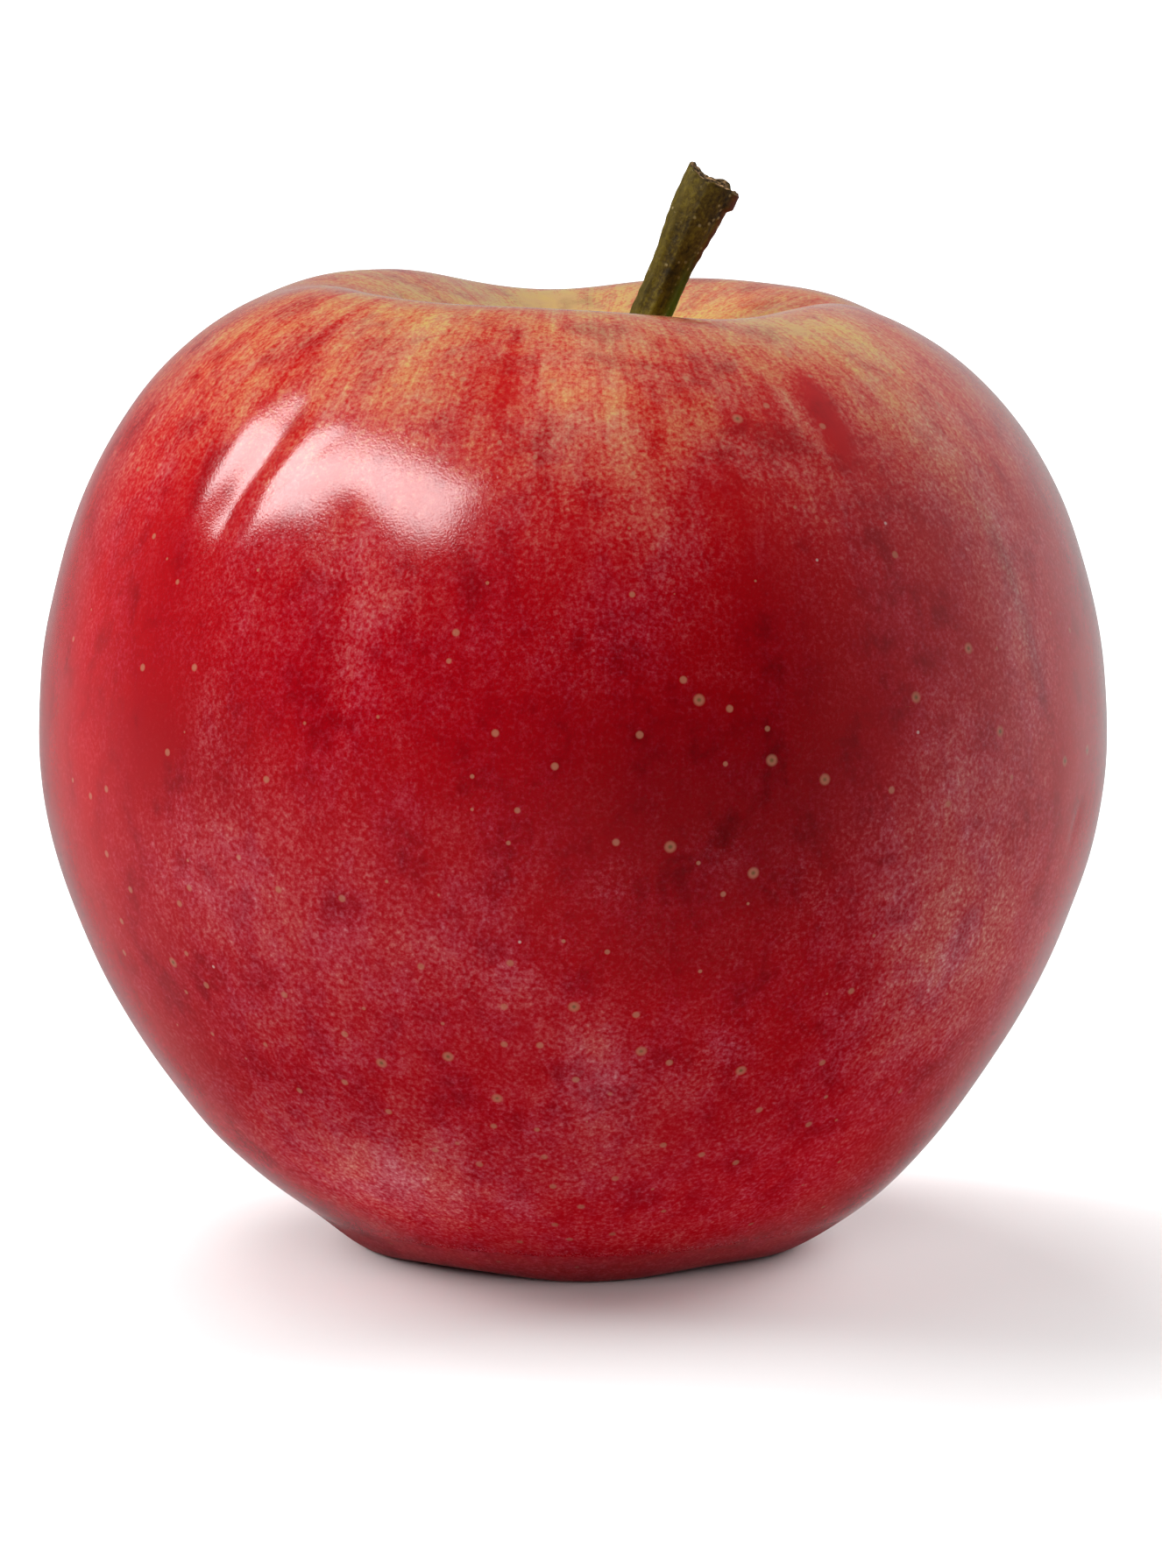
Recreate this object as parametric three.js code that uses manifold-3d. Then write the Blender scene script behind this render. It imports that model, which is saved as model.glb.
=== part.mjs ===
// A red apple standing on its base lobes, with its stalk and its dried calyx.
// Millimetres, +Z up, front at -Y.
import * as THREE from 'three';
import { mergeVertices } from 'three/addons/utils/BufferGeometryUtils.js';
import Module from 'manifold-3d';

const wasm = await Module();
wasm.setup();

// Driving dimensions of the fruit

// Half section of the skin as [radius, height]: from the floor of the calyx basin, round the base,
// up the flank, over the shoulder and down to the floor of the stalk cavity.
const MERIDIAN = [
  [0, 9], [5, 7], [10, 2.4], [15.2, -0.4], [20.4, 2.8], [28, 9.5], [34.9, 20], [39.2, 32], [39.5, 43.5],
  [36.7, 55], [32.2, 63.2], [26.3, 69.1], [19.6, 72], [13, 69.8], [7.2, 65.4], [2.6, 61.5], [0, 61],
];
const FLOOR_RADIUS = 6; // inside this radius the basin and the cavity are plain and round

// The five valleys that cross the crest round the stalk cavity: azimuth and half width in degrees.
const CREST_VALLEYS = [
  { azimuth: 8, depth: 0.9, width: 12 },
  { azimuth: 98, depth: 1.9, width: 24 },
  { azimuth: 176, depth: 0.8, width: 18 },
  { azimuth: 238, depth: 0.3, width: 20 },
  { azimuth: 304, depth: 0.7, width: 22 },
];
const CREST = { along: 0.78, spread: 0.09 };

// The right shoulder sits lower than the left one.
const SHOULDER_DROP = 1.6;
const SHOULDER = { along: 0.73, spread: 0.14 };

// The five base lobes that the fruit stands on, and how far each one swells the foot of the flank.
const BASE_LOBES = [
  { azimuth: 60, swell: 0.3 },
  { azimuth: 134, swell: 0.3 },
  { azimuth: 204, swell: 0 },
  { azimuth: 276, swell: 0.7 },
  { azimuth: 338, swell: 1.5 },
];
const LOBE_WIDTH = 24;
const BASE_NOTCH = 0.9; // height of the notches between the lobes
const BASE = { along: 0.17, spread: 0.06 };
const FOOT = { along: 0.255, spread: 0.055 };

// The stalk cavity lies a little to the right of the fruit's middle.
const CAVITY_SHIFT = 1.5;
const CAVITY_SPREAD = 0.16;

const SKIN_RINGS = 46;
const SKIN_SIDES = 72;

// Driving dimensions of the stalk

const STALK_PATH = [[1.9, 0, 58.4], [5, 0, 67.4], [10.6, 0, 79.3]]; // a curve's start, pull point and end
const STALK_RADIUS = 1.48;
const STALK_ROOT_SWELL = 0.35; // extra radius where it grows out of the cavity floor
const STALK_ROOT_TO = 0.3; // the swell and the flare run between these shares of the stalk's length
const STALK_END_FLARE = 0.55; // extra radius at the broken end
const STALK_FLARE_FROM = 0.64;
const STALK_FLARE_TO = 0.93;
const STALK_BREAK_FROM = 0.8; // above this share of the length the rings lean into the broken end
const STALK_END_SLANT = 0.13; // rise over run of the broken end, which is higher on the left
const STALK_END_TEETH = [{ count: 3, height: 0.28, turn: 1 }, { count: 5, height: 0.17, turn: 0 }];
const STALK_END_PIT = 0.5;
const STALK_RINGS = 16;
const STALK_SIDES = 16;
const CLEARANCE = 0.3; // gap between the stalk or the calyx and the flesh round it

// Driving dimensions of the calyx

const SEPAL_COUNT = 5;
const SEPAL_PATH = [[2.2, 9], [2.9, 7], [2.8, 5.6], [3.6, 4.4], [5.4, 4]]; // [radius, height], root to tip
const SEPAL_WIDTH = 2.7;
const SEPAL_TIP_WIDTH = 0.7;
const SEPAL_THICKNESS = 0.7;
const SEPAL_CUP = 0.35; // how far the edges of a sepal curl towards the middle
const SEPAL_TURN = 18; // azimuth of the first sepal, in degrees
const SEPAL_TWIST = [4, -7, 9, -3, 6]; // each dried sepal's own sideways lean, in degrees
const CUP_PROFILE = [[0, 7.8], [2.2, 7.4], [3.4, 7.5], [3.5, 9.2], [3.2, 10], [0, 10]];
const CUP_MIDDLE = 8.7; // height that parts the cup's underside from its top
const CUP_SIDES = 20;

// Finishes

const SKIN_RED = { color: 0xa8202c, roughness: 0.36, metalness: 0 };
const STALK_BROWN = { color: 0x4a3a14, roughness: 0.75, metalness: 0 };
const CALYX_BROWN = { color: 0x5d4a30, roughness: 0.9, metalness: 0 };

const WELD = 1e-3;
const { degToRad, euclideanModulo, lerp, smoothstep } = THREE.MathUtils;

const bell = (x) => Math.exp(-x * x);
const near = (along, place) => bell((along - place.along) / place.spread);

// How close an azimuth is to a feature's own azimuth: 1 on it, falling to 0 beside it.
function facing(azimuth, feature, width) {
  const apart = euclideanModulo(azimuth - feature + 180, 360) - 180;
  return bell(apart / width);
}

function sum(list, value) {
  return list.reduce((total, item) => total + value(item), 0);
}

function splineThrough(points) {
  return new THREE.SplineCurve(points.map(([radius, height]) => new THREE.Vector2(radius, height)));
}

// Solids

function solidFrom(geometry) {
  const bare = new THREE.BufferGeometry();
  bare.setAttribute('position', geometry.getAttribute('position'));
  bare.setIndex(geometry.getIndex());
  const welded = mergeVertices(bare, WELD);
  return new wasm.Manifold(new wasm.Mesh({
    numProp: 3,
    vertProperties: welded.getAttribute('position').array,
    triVerts: new Uint32Array(welded.getIndex().array),
  }));
}

function geometryFrom(solid) {
  const mesh = solid.getMesh();
  const geometry = new THREE.BufferGeometry();
  geometry.setAttribute('position', new THREE.BufferAttribute(mesh.vertProperties, 3));
  geometry.setIndex(new THREE.BufferAttribute(mesh.triVerts, 1));
  geometry.computeVertexNormals();
  return geometry;
}

// Moves every vertex of a geometry to where place(vertex, uv) puts it.
function reshape(geometry, place) {
  const position = geometry.getAttribute('position');
  const uv = geometry.getAttribute('uv');
  const vertex = new THREE.Vector3();
  const spot = new THREE.Vector2();
  for (let i = 0; i < position.count; i++) {
    const moved = place(vertex.fromBufferAttribute(position, i), spot.fromBufferAttribute(uv, i));
    position.setXYZ(i, moved.x, moved.y, moved.z);
  }
  return geometry;
}

// The fruit

const meridian = splineThrough(MERIDIAN);

// A point of the skin: along runs 0 to 1 from the basin to the cavity, azimuth is in degrees from +X.
function skinPoint(along, azimuth) {
  const { x: plainRadius, y: plainHeight } = meridian.getPoint(along);
  const turn = degToRad(azimuth);
  const reach = Math.min(1, plainRadius / FLOOR_RADIUS);
  const valley = sum(CREST_VALLEYS, (v) => v.depth * facing(azimuth, v.azimuth, v.width));
  const lobe = sum(BASE_LOBES, (l) => facing(azimuth, l.azimuth, LOBE_WIDTH));
  const swell = sum(BASE_LOBES, (l) => l.swell * facing(azimuth, l.azimuth, LOBE_WIDTH));
  const rightness = (1 + Math.cos(turn)) / 2;

  const radius = plainRadius + reach * swell * near(along, FOOT);
  const height = plainHeight
    - reach * valley * near(along, CREST)
    - reach * SHOULDER_DROP * rightness * near(along, SHOULDER)
    + reach * BASE_NOTCH * (1 - lobe) * near(along, BASE);
  const shift = CAVITY_SHIFT * bell((1 - along) / CAVITY_SPREAD);
  // Whatever would dip below the ground is pressed flat: these are the spots that the fruit stands on.
  return new THREE.Vector3(radius * Math.cos(turn) + shift, radius * Math.sin(turn), Math.max(height, 0));
}

function skinGeometry() {
  const lathe = new THREE.LatheGeometry(meridian.getPoints(SKIN_RINGS), SKIN_SIDES);
  return reshape(lathe, (_, uv) => skinPoint(uv.y, uv.x * 360));
}

// The stalk

const stalkPath = new THREE.QuadraticBezierCurve3(...STALK_PATH.map((point) => new THREE.Vector3(...point)));

function stalkRadius(along) {
  const root = STALK_ROOT_SWELL * (1 - smoothstep(along, 0, STALK_ROOT_TO));
  const flare = STALK_END_FLARE * smoothstep(along, STALK_FLARE_FROM, STALK_FLARE_TO);
  return STALK_RADIUS + root + flare;
}

// The stalk, or the hole that it stands in when gap is above 0.
function stalkGeometry(gap = 0) {
  const cylinder = new THREE.CylinderGeometry(1, 1, 1, STALK_SIDES, STALK_RINGS);
  return reshape(cylinder, ({ x: right, y: rise, z: front }) => {
    const along = rise + 0.5;
    const tangent = stalkPath.getTangentAt(along);
    const sideways = new THREE.Vector3(0, 1, 0).cross(tangent).normalize();
    const forwards = sideways.clone().cross(tangent);
    const radius = stalkRadius(along) + gap;
    const outward = Math.hypot(right, front);
    const angle = Math.atan2(front, right);
    const teeth = sum(STALK_END_TEETH, (t) => t.height * Math.cos(t.count * angle + t.turn));
    const broken = teeth * outward - STALK_END_SLANT * right * radius - STALK_END_PIT * (1 - outward);
    const lift = along > 0 ? broken * smoothstep(along, STALK_BREAK_FROM, 1) : -gap;
    return stalkPath.getPointAt(along)
      .addScaledVector(sideways, right * radius)
      .addScaledVector(forwards, front * radius)
      .addScaledVector(tangent, lift);
  });
}

// The calyx

const sepalPath = splineThrough(SEPAL_PATH);

// One dried sepal: a thin tapering blade, bowed along its path and curled across it.
function sepalGeometry(index) {
  const blade = new THREE.BoxGeometry(1, 1, 1, 4, 8, 1);
  const azimuth = degToRad(SEPAL_TURN + index * 360 / SEPAL_COUNT);
  const twist = degToRad(SEPAL_TWIST[index]);
  return reshape(blade, ({ x: across, y: rise, z: outward }) => {
    const along = rise + 0.5;
    const middle = sepalPath.getPoint(along);
    const tangent = sepalPath.getTangent(along);
    const width = lerp(SEPAL_WIDTH, SEPAL_TIP_WIDTH, along * along);
    const offset = outward * SEPAL_THICKNESS - SEPAL_CUP * (2 * across) ** 2 * (1 - along);
    const radius = middle.x - tangent.y * offset;
    const height = middle.y + tangent.x * offset;
    const point = new THREE.Vector3(radius, -across * width, height);
    return point.applyAxisAngle(new THREE.Vector3(0, 0, 1), azimuth + twist * along);
  });
}

function cupGeometry(gap = 0) {
  const profile = CUP_PROFILE.map(([radius, height]) => (
    new THREE.Vector2(radius > 0 ? radius + gap : 0, height + (height > CUP_MIDDLE ? gap : -gap))
  ));
  return new THREE.LatheGeometry(profile, CUP_SIDES).rotateX(Math.PI / 2);
}

// Assembly

const fruitSolid = solidFrom(skinGeometry())
  .subtract(solidFrom(stalkGeometry(CLEARANCE)))
  .subtract(solidFrom(cupGeometry(CLEARANCE)));

let calyxSolid = solidFrom(cupGeometry());
for (let i = 0; i < SEPAL_COUNT; i++) {
  calyxSolid = calyxSolid.add(solidFrom(sepalGeometry(i)));
}

function piece(name, geometry, finish) {
  const mesh = new THREE.Mesh(geometry, new THREE.MeshStandardMaterial(finish));
  mesh.name = name;
  return mesh;
}

const growth = new THREE.Group();
growth.add(
  piece('fruit', geometryFrom(fruitSolid), SKIN_RED),
  piece('stalk', stalkGeometry(), STALK_BROWN),
  piece('calyx', geometryFrom(calyxSolid), CALYX_BROWN),
);

// The part's origin is on the ground, under the middle of its box.
const middle = new THREE.Box3().setFromObject(growth).getCenter(new THREE.Vector3());
growth.position.set(-middle.x, -middle.y, 0);

const apple = new THREE.Group();
apple.name = 'apple';
apple.add(growth);

export default apple;
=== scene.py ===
import math

import bpy
import numpy as np
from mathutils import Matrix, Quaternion, Vector
from mathutils.bvhtree import BVHTree
from mathutils.kdtree import KDTree


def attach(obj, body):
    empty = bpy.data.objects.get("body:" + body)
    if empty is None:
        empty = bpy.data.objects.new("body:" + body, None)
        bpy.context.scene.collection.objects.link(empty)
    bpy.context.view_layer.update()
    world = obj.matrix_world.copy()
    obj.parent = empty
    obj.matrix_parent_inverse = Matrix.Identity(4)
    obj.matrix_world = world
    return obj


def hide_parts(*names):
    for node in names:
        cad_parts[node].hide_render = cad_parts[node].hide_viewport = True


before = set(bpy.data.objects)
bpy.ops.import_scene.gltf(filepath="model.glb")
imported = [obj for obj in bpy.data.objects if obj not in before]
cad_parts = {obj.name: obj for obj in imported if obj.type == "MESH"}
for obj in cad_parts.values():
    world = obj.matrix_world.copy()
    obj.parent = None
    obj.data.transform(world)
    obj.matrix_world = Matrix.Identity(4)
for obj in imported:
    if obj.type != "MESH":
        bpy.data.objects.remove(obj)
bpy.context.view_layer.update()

# Everything below is worked out in millimetres and made in metres.
MM = 0.001

# The photograph's view

PHOTO_WIDTH, PHOTO_HEIGHT = 1326, 1790
PIXELS_PER_MM = 15.275
CAMERA_DISTANCE = 450.0
CAMERA_ELEVATION = 9.0
CAMERA_TARGET = np.array([0.6, 0.0, 34.1])
SENSOR = 36.0
CAMERA_NEAR, CAMERA_FAR = 0.01, 100

# The fruit, as in the solid: half section as (radius, height) from the calyx basin to the stalk cavity

MERIDIAN = [
    (0, 9), (5, 7), (10, 2.4), (15.2, -0.4), (20.4, 2.8), (28, 9.5), (34.9, 20), (39.2, 32), (39.5, 43.5),
    (36.7, 55), (32.2, 63.2), (26.3, 69.1), (19.6, 72), (13, 69.8), (7.2, 65.4), (2.6, 61.5), (0, 61),
]
FLOOR_RADIUS = 6
CREST_VALLEYS = [(8, 0.9, 12), (98, 1.9, 24), (176, 0.8, 18), (238, 0.3, 20), (304, 0.7, 22)]
CREST_ALONG, CREST_SPREAD = 0.78, 0.09
SHOULDER_DROP, SHOULDER_ALONG, SHOULDER_SPREAD = 1.6, 0.73, 0.14
BASE_LOBES = [(60, 0.3), (134, 0.3), (204, 0), (276, 0.7), (338, 1.5)]
LOBE_WIDTH = 24
BASE_NOTCH, BASE_ALONG, BASE_SPREAD = 0.9, 0.17, 0.06
FOOT_ALONG, FOOT_SPREAD = 0.255, 0.055
CAVITY_SHIFT, CAVITY_SPREAD = 1.5, 0.16
SKIN_RINGS, SKIN_SIDES = 240, 400

# Fine relief of the skin: photo points along a crease, its half width, its depth and the share of its length
# that each end tapers over

CREASES = [
    ([(400, 385), (350, 445), (318, 490), (291, 528), (266, 565), (244, 612), (215, 690)], 2.0, 0.42, 0.3),
    ([(402, 481), (374, 503), (338, 531), (312, 555), (293, 587)], 0.6, 0.06, 0.3),
    ([(393, 528), (400, 860)], 2.2, 0.46, 0.3),
    ([(1238, 915), (1228, 940), (1221, 968)], 0.35, 0.12, 0.3),
    ([(790, 374), (835, 362), (870, 348), (905, 338)], 0.8, 0.3, 0.3),
    ([(450, 333), (470, 341), (490, 351)], 0.6, 0.2, 0.3),
]
LUMP_HEIGHT, LUMP_LENGTH, LUMP_WAVES, LUMP_SEED = 0.03, 9.0, 40, 11
LUMP_SINK = 0.07

# How pale the skin is along its half section: 0 is full red, 1 is the bare tan ground; low on the fruit the
# skin is made paler partly as painted light from below

PALE_SECTION = [
    (0, 0.7), (0.08, 0.5), (0.16, 0.3), (0.22, 0.2), (0.3, 0.17), (0.42, 0.05), (0.5, 0.0), (0.55, 0.1),
    (0.59, 0.25), (0.64, 0.4), (0.7, 0.52), (0.75, 0.66), (0.8, 0.8), (0.87, 0.9), (1, 1),
]

# Patches of the skin seen in the photograph: photo point, half width and half height, lean in degrees and
# change of paleness; the pale ones along the rims and low on the right are partly painted reflection and
# painted light

PALE_SKIN_AND_PAINTED_LIGHT_PATCHES = [
    ((480, 420), 2.2, 6.0, 0, 0.12), ((470, 372), 3.0, 2.0, 0, 0.2), ((430, 440), 4.0, 3.0, 0, 0.1),
    ((695, 395), 1.6, 3.5, 0, 0.2), ((712, 500), 1.3, 6.0, 0, 0.2), ((748, 600), 1.2, 5.0, 0, 0.2),
    ((640, 450), 2.0, 6.0, 0, 0.08), ((640, 530), 2.5, 4.0, 0, 0.1), ((1030, 450), 5.0, 4.0, 0, 0.05),
    ((1060, 500), 4.0, 4.0, 0, 0.2), ((985, 400), 3.0, 3.0, 0, 0.2), ((150, 480), 5.0, 5.0, 0, -0.08),
    ((230, 440), 5.0, 3.0, 0, 0.03), ((810, 500), 2.0, 1.5, 0, 0.15), ((860, 540), 1.2, 2.5, 0, 0.1),
    ((330, 1010), 12.0, 9.0, 0, 0.2), ((230, 960), 6.0, 8.0, 0, 0.15),
    ((380, 1130), 12.0, 8.0, 0, 0.12), ((685, 1255), 3.5, 6.0, 0, 0.3), ((670, 1195), 1.5, 2.0, 0, 0.2),
    ((590, 1135), 3.0, 2.0, 0, 0.2), ((825, 1205), 2.0, 3.0, 0, 0.15), ((775, 1230), 2.0, 2.0, 0, 0.12),
    ((1040, 1080), 5.0, 8.0, 0, 0.25), ((1020, 1020), 2.0, 2.0, 0, 0.2),
    ((1010, 950), 3.0, 3.0, 0, 0.15), ((1090, 860), 4.0, 6.0, 0, 0.25),
    ((1120, 1000), 7.0, 12.0, 0, 0.3), ((1130, 1100), 8.0, 8.0, 0, 0.3),
    ((630, 345), 4.0, 4.0, 0, 0.45), ((905, 375), 5.0, 3.5, 0, 0.4), ((180, 850), 4.0, 5.0, 0, -0.16),
    ((430, 1350), 10.0, 5.0, 0, 0.2), ((1150, 650), 5.0, 10.0, 0, 0.3),
    ((1180, 760), 3.0, 8.0, 0, 0.25), ((400, 720), 1.3, 6.0, 0, 0.2), ((390, 640), 4.0, 3.0, 0, 0.12),
    ((360, 1280), 7.0, 5.0, 0, 0.12), ((450, 1370), 7.0, 3.0, 0, 0.12), ((240, 820), 2.0, 3.0, 0, 0.15),
    ((260, 700), 6.0, 5.0, 0, 0.08), ((430, 780), 5.0, 5.0, 0, 0.08), ((450, 680), 2.0, 2.0, 0, 0.2),
    ((660, 740), 5.0, 3.0, 0, 0.1), ((450, 1330), 8.0, 4.0, 0, 0.2), ((560, 1010), 3.0, 3.0, 0, 0.1),
    ((520, 1100), 4.0, 2.5, 0, 0.12), ((700, 1010), 2.0, 2.0, 0, 0.1), ((820, 970), 2.0, 2.0, 0, 0.12),
    ((930, 1020), 3.0, 4.0, 0, 0.12), ((585, 440), 1.8, 4.0, 0, -0.25),
    ((545, 420), 1.6, 3.0, 0, -0.12), ((745, 465), 2.0, 2.5, 0, -0.15),
    ((760, 420), 2.4, 2.0, 0, -0.12), ((880, 470), 1.5, 3.0, 0, -0.25),
    ((845, 480), 1.2, 1.5, 0, -0.15), ((945, 480), 1.4, 3.5, 8, -0.58),
    ((920, 440), 2.0, 2.0, 0, -0.15), ((330, 410), 3.0, 3.0, 0, -0.12),
    ((815, 560), 3.0, 2.5, 0, -0.15), ((870, 620), 3.0, 8.0, 0, -0.15), ((660, 600), 1.5, 3.0, 0, -0.1),
    ((190, 650), 4.0, 6.0, 0, -0.12), ((210, 560), 3.0, 3.0, 0, -0.1),
]

# Patches where the red is darker or brighter: the darker ones are deeper red, partly as painted shade, and
# the brighter ones, mostly low on the fruit and at its rims, are painted light; photo point, half width and
# half height, lean in degrees and share of the light taken away

DEEP_RED_AND_PAINTED_SHADING_PATCHES = [
    ((920, 850), 8.0, 11.0, 0, 0.3), ((740, 900), 7.0, 8.0, 0, 0.2), ((850, 1000), 8.0, 7.0, 0, 0.15),
    ((900, 690), 6.0, 6.0, 0, 0.05), ((250, 870), 4.0, 5.0, 0, 0.15), ((660, 860), 12.0, 10.0, 0, 0.12),
    ((600, 1425), 26.0, 7.0, 0, -0.55), ((880, 1390), 12.0, 8.0, 0, -0.4),
    ((1225, 740), 9.0, 26.0, 0, -0.42), ((1080, 470), 8.0, 6.0, 0, -0.15),
    ((85, 850), 6.0, 26.0, 0, -0.3), ((670, 440), 4.0, 5.0, 0, -0.15),
    ((1000, 1240), 6.0, 8.0, 0, -0.1), ((430, 1350), 10.0, 5.0, 0, -0.15),
    ((180, 850), 4.0, 5.0, 0, 0.1), ((450, 1370), 8.0, 4.0, 0, -0.12), ((820, 1380), 8.0, 4.0, 0, 0.16),
    ((740, 1090), 3.0, 3.0, 0, 0.12), ((830, 1100), 3.0, 2.0, 0, 0.1),
    ((1148, 640), 0.8, 3.5, 12, 0.35), ((1182, 750), 0.9, 4.0, 10, 0.3),
]

# Lenticels, the skin's pores: photo points of the pale ones, of those with a dark middle and of specks

PALE_DOTS = [
    (780, 776), (833, 809), (730, 839), (633, 875), (520, 722), (703, 962), (1018, 902), (1083, 918),
    (1022, 633), (528, 432), (631, 434), (488, 457), (739, 419), (783, 431), (875, 462), (939, 486),
    (901, 405), (102, 909), (120, 901), (121, 975), (148, 1016), (204, 1032), (138, 1052), (141, 1088),
    (235, 1125), (317, 1016), (390, 1026), (324, 1136), (393, 1181), (393, 1236), (480, 1104),
    (341, 1246), (443, 1270), (726, 1159), (575, 1150), (575, 1193), (616, 1194), (764, 1214),
    (657, 1233), (563, 1287), (840, 1328), (939, 1214), (972, 1132), (757, 1308), (801, 1319),
    (702, 1346), (631, 1355), (621, 1322), (547, 1330), (867, 1268), (923, 1284), (496, 1314),
    (663, 1378), (633, 1399), (699, 1410), (650, 1416), (593, 1419), (162, 762), (221, 762), (190, 859),
    (303, 890), (215, 1014), (582, 1100), (565, 837),
]
DARK_DOTS = [
    (798, 799), (881, 868), (765, 967), (860, 997), (942, 890), (1106, 740), (1046, 796), (1142, 835),
    (1216, 869), (1242, 856), (842, 477), (197, 1099), (435, 1214), (655, 1150), (511, 1207),
    (732, 1201), (846, 1223), (567, 1255),
]
BRIGHT_SPECKS = [(1011, 597), (933, 639), (243, 1104), (593, 1076), (1048, 836)]
PALE_DOT_RADIUS, DARK_DOT_RADIUS, SPECK_RADIUS = 0.28, 0.42, 0.14

# The scatter of more dots, smaller where the photograph shows the skin; dots are dealt into groups so wide
# apart that each one is the only one near it, and a point out of a dot's reach counts as far off

SCATTER_COUNT, SCATTER_SEED, SCATTER_KINDS = 900, 5, 2
SCATTER_SMALL, SCATTER_LARGE, SCATTER_SEEN, SEEN_SIDE = 0.14, 0.4, 0.6, 0.1
DOT_GAP = 2
DOT_GROUPS, DOT_ROOM, DOT_REACH, FAR_OFF = 3, 3.8, 0.4, 99.0

# The stalk

STALK_PATH = [(1.55, 0, 58.4), (4.65, 0, 67.4), (10.2, 0, 79.15)]
STALK_LENGTH, STALK_PATH_STEPS = 22.7, 400
STALK_RADIUS, STALK_ROOT_SWELL, STALK_ROOT_TO = 1.48, 0.35, 0.3
STALK_END_FLARE, STALK_FLARE_FROM, STALK_FLARE_TO = 0.5, 0.64, 0.93
STALK_BREAK_FROM, STALK_END_SLANT, STALK_END_PIT = 0.84, 0.13, 0.3
STALK_RINGS, STALK_SIDES, STALK_END_RINGS = 180, 96, 24

# Fine relief of the stalk: azimuth round it, height and width of each tooth of the broken end; number,
# height and turn of the ridges along the bark; the collar beside the break, the warts and the torn fibres

STALK_END_TEETH = [(160, 0.3, 24), (58, 0.4, 26), (108, -0.1, 18), (250, -0.25, 40), (310, 0.12, 14)]
BARK_RIDGES = [(5, 0.04, 0.7), (9, 0.03, 2.1), (16, 0.015, 0.3)]
COLLAR_HEIGHT, COLLAR_WIDTH, COLLAR_FROM, COLLAR_TO = 0.38, 42, 0.925, 0.95
WART_HEIGHT, WART_LENGTH, WART_SEED = 0.022, 0.9, 3
FIBRE_HEIGHT, FIBRE_LENGTH, FIBRE_SEED = 0.1, 0.5, 7
RELIEF_WAVES = 40

# The calyx

SEPAL_COUNT = 5
SEPAL_PATH = [(2.2, 9), (2.9, 7), (2.8, 5.6), (3.6, 4.4), (5.4, 4)]
SEPAL_WIDTH, SEPAL_TIP_WIDTH, SEPAL_THICKNESS = 2.7, 0.7, 0.7
SEPAL_CUP, SEPAL_TURN = 0.35, 18
SEPAL_RINGS, SEPAL_SIDES = 40, 28
SEPAL_TWIST = [4, -7, 9, -3, 6]
SEPAL_WRINKLE, WRINKLE_LENGTH, WRINKLE_SEED = 0.07, 0.9, 21
STAMEN_COUNT, STAMEN_RADIUS, STAMEN_SEED = 15, 0.13, 4
STAMEN_ROOT, STAMEN_TIP = (1.3, 9.2), (1.5, 6.4)
STAMEN_RINGS, STAMEN_SIDES = 14, 8
STAMEN_STRAY, STAMEN_BEND, STAMEN_REACHES, STAMEN_LENGTHS = 0.3, 0.5, (0.3, 1.1), (0.7, 1.0)
ANTHER_SWELL, ANTHER_ALONG, ANTHER_SPREAD = 0.9, 0.95, 0.12


# Numbers

def bell(x):
    return np.exp(-x * x)


def smoothstep(x, low, high):
    t = np.clip((x - low) / (high - low), 0, 1)
    return t * t * (3 - 2 * t)


def facing(azimuth, feature, width):
    """How close an azimuth is to a feature's own: 1 on it, falling to 0 beside it."""
    return bell(((azimuth - feature + 180) % 360 - 180) / width)


def spline(points, along):
    """Points of the smooth curve through a list of points, at shares 0 to 1 of its spans."""
    points = np.array(points, float)
    last = len(points) - 1
    place = np.asarray(along, float) * last
    span = np.minimum(place.astype(int), last - 1)
    step = (place - span)[..., None]
    before, start = points[np.maximum(span - 1, 0)], points[span]
    end, after = points[span + 1], points[np.minimum(span + 2, last)]
    leave, arrive = (end - before) / 2, (after - start) / 2
    cubic = (2 * start - 2 * end + leave + arrive) * step ** 3
    square = (3 * end - 3 * start - 2 * leave - arrive) * step ** 2
    return cubic + square + leave * step + start


def unit(vectors):
    return vectors / np.linalg.norm(vectors, axis=-1, keepdims=True)


def lumps(points, length, waves, seed):
    """A smooth random field over points, about -1 to 1, made of plane waves of about that length."""
    draw = np.random.default_rng(seed)
    direction = unit(draw.normal(size=(waves, 3)))
    rate = 2 * math.pi / (length * draw.uniform(0.6, 1.6, waves))
    phase = draw.uniform(0, 2 * math.pi, waves)
    field = np.zeros(points.shape[:-1])
    for d, r, p in zip(direction, rate, phase):
        field += np.sin(points @ d * r + p)
    return field / math.sqrt(waves)


# Meshes

def lofted(rings, first, last):
    """Vertices and faces of a closed surface through rings of points, with a pole at each end."""
    count, sides = rings.shape[:2]
    vertices = np.concatenate([rings.reshape(-1, 3), [first], [last]])
    start, end = count * sides, count * sides + 1
    faces = []
    for ring in range(count - 1):
        low = ring * sides
        for side in range(sides):
            beside = (side + 1) % sides
            faces.append((low + side, low + beside, low + sides + beside, low + sides + side))
    top = (count - 1) * sides
    for side in range(sides):
        beside = (side + 1) % sides
        faces.append((start, beside, side))
        faces.append((end, top + side, top + beside))
    return vertices, faces


def mesh_piece(name, lofts, material):
    """One smooth mesh object from one or more lofted surfaces, given in millimetres."""
    vertices, faces = [], []
    for points, corners in lofts:
        base = len(vertices)
        vertices.extend((np.asarray(points) * MM).tolist())
        faces.extend(tuple(base + c for c in face) for face in corners)
    mesh = bpy.data.meshes.new(name)
    mesh.from_pydata(vertices, [], faces)
    mesh.polygons.foreach_set("use_smooth", [True] * len(mesh.polygons))
    mesh.materials.append(material)
    piece = bpy.data.objects.new(name, mesh)
    bpy.context.scene.collection.objects.link(piece)
    return piece


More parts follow.
